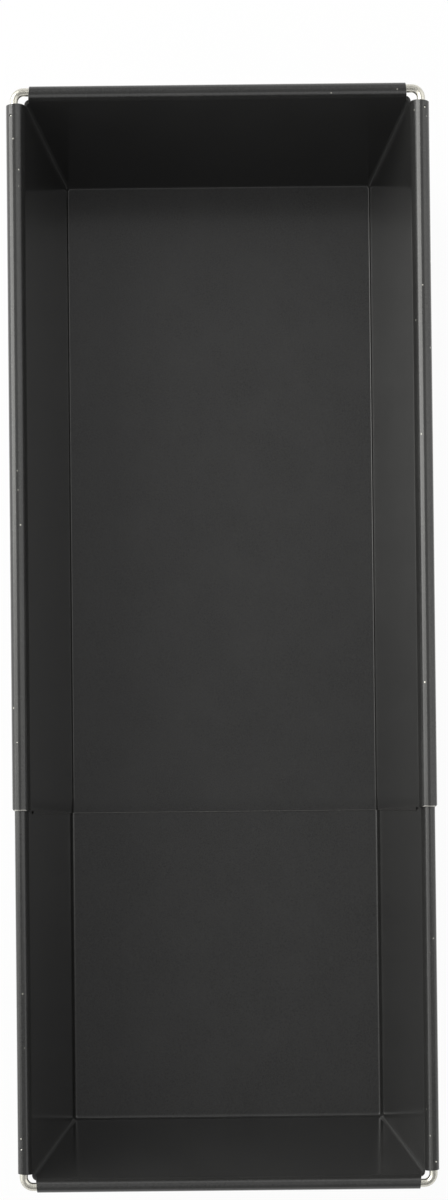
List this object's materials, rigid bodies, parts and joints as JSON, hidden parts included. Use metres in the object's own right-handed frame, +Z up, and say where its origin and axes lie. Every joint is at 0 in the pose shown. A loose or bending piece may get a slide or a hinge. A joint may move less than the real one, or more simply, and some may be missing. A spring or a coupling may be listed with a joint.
{
  "type": "adjustable loaf pan",
  "caption": "Loaf pan with a flat floor and flared walls, made of nested open-ended trays that slide along hooked, wire-cored rims, so that its length can be set.",
  "frame": {"origin": "on the surface that the pan stands on, under the middle of its overall box at the length shown", "axes": "+X along the pan to the inner tray's closed end, +Y across it, +Z up"},
  "size_m": [0.3, 0.115, 0.07],
  "materials": {
    "outer_coating": "satin dark grey non-stick coating on tinplate",
    "inner_coating": "satin dark grey non-stick coating on tinplate",
    "outer_wire": "bright drawn steel wire",
    "inner_wire": "bright drawn steel wire"
  },
  "bodies": {
    "outer": {"outer_tray": "outer_coating", "outer_rim_wire": "outer_wire"},
    "inner": {"inner_tray": "inner_coating", "inner_rim_wire": "inner_wire"}
  },
  "joints": [
    {"name": "length_slide", "type": "slide", "parent": "outer", "child": "inner", "axis": [1, 0, 0], "range_m": [-0.089, 0.05]}
  ]
}
